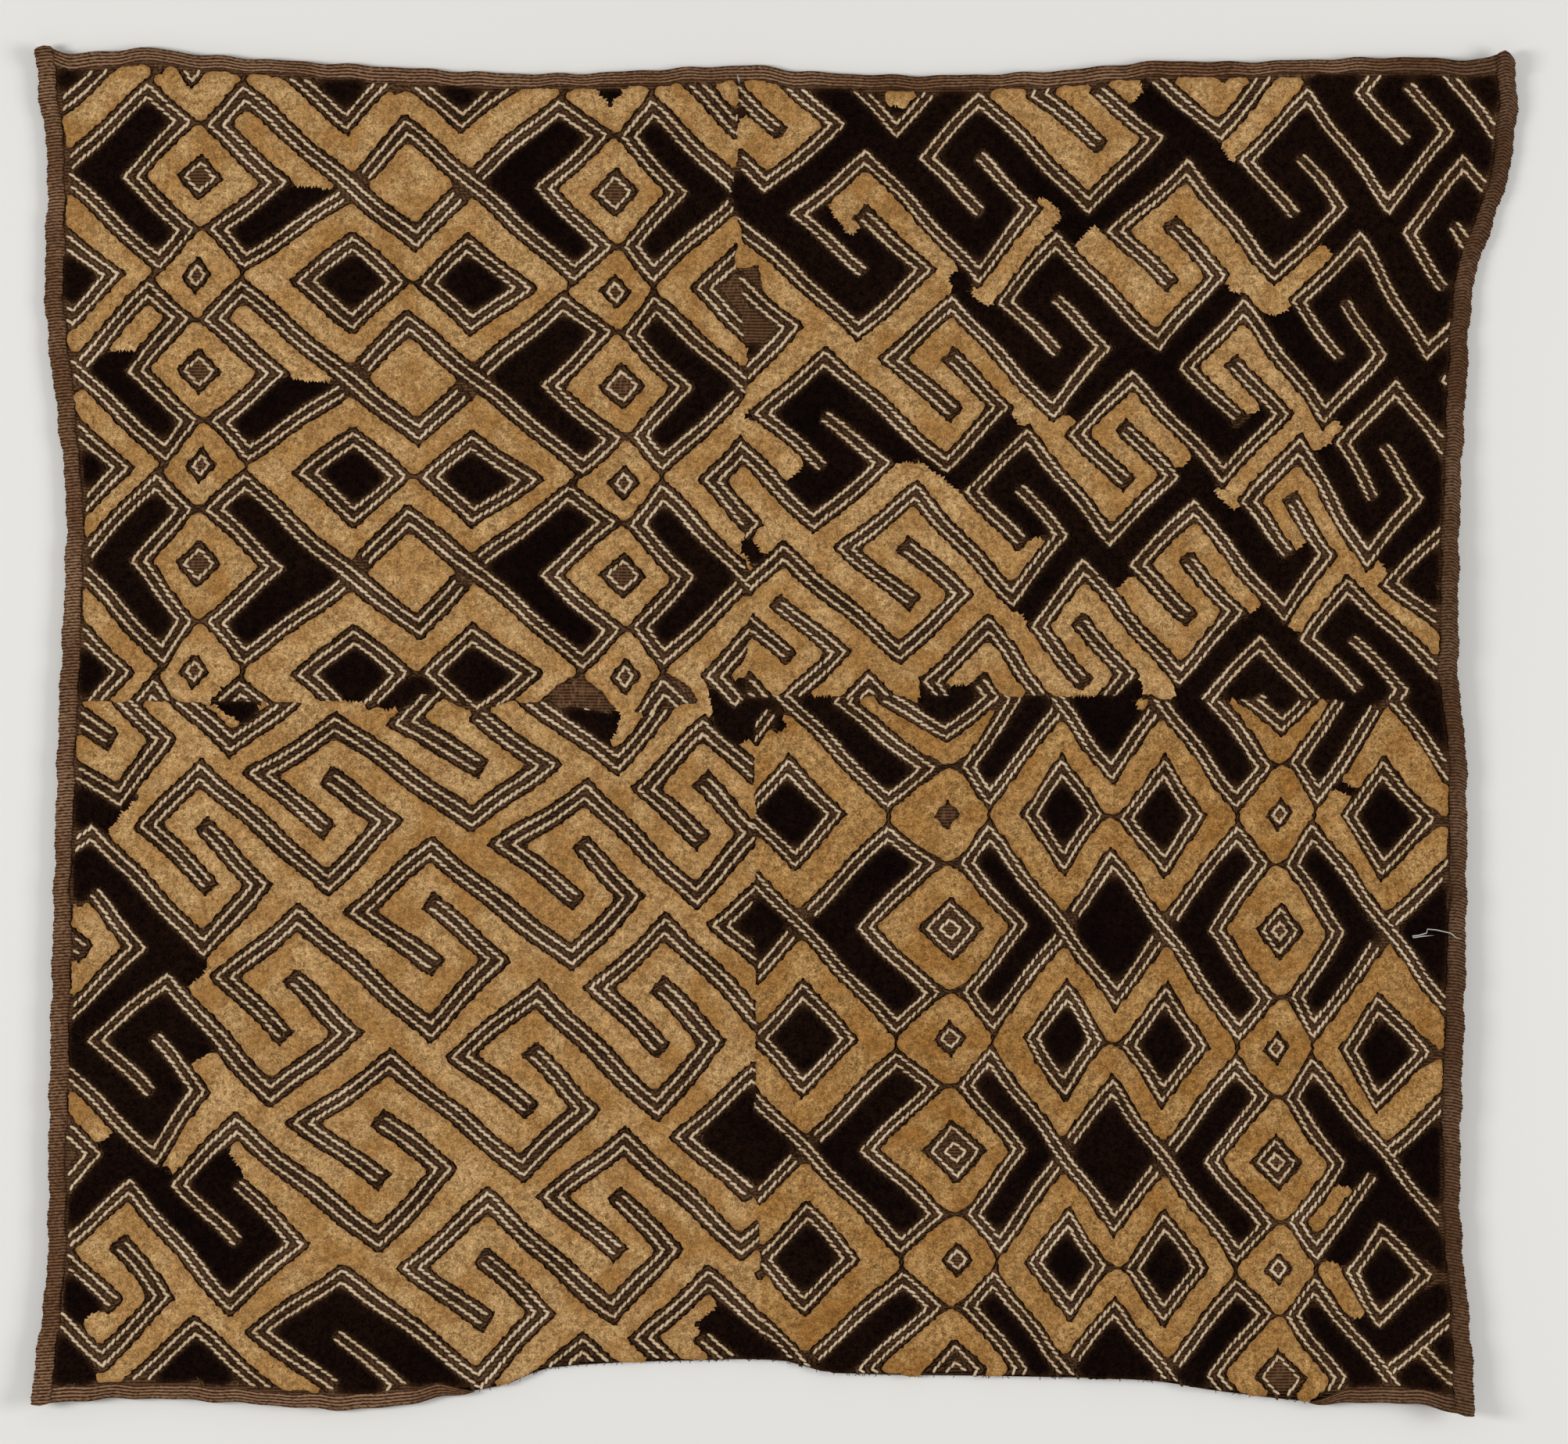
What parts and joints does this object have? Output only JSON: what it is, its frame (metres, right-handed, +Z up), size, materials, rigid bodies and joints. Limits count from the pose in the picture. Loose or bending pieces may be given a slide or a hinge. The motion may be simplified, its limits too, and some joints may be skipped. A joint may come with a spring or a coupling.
{
  "type": "kuba raffia cloth",
  "caption": "Square panel of woven raffia with a cut-pile face in interlaced diamond and hooked-band patterns, turned hems at its edges, lying flat face up.",
  "frame": {"origin": "middle of the panel's outline, on the surface it lies on", "axes": "+X to the panel's right and along its longer side, +Y towards its top edge, +Z up out of the pile face"},
  "size_m": [0.6068, 0.559, 0.0147],
  "materials": {
    "raffia_pile": "matt cut pile of tan and brown-black raffia over a brown plain-woven ground"
  },
  "bodies": {
    "root": {"raffia_panel": "raffia_pile"}
  },
  "joints": []
}
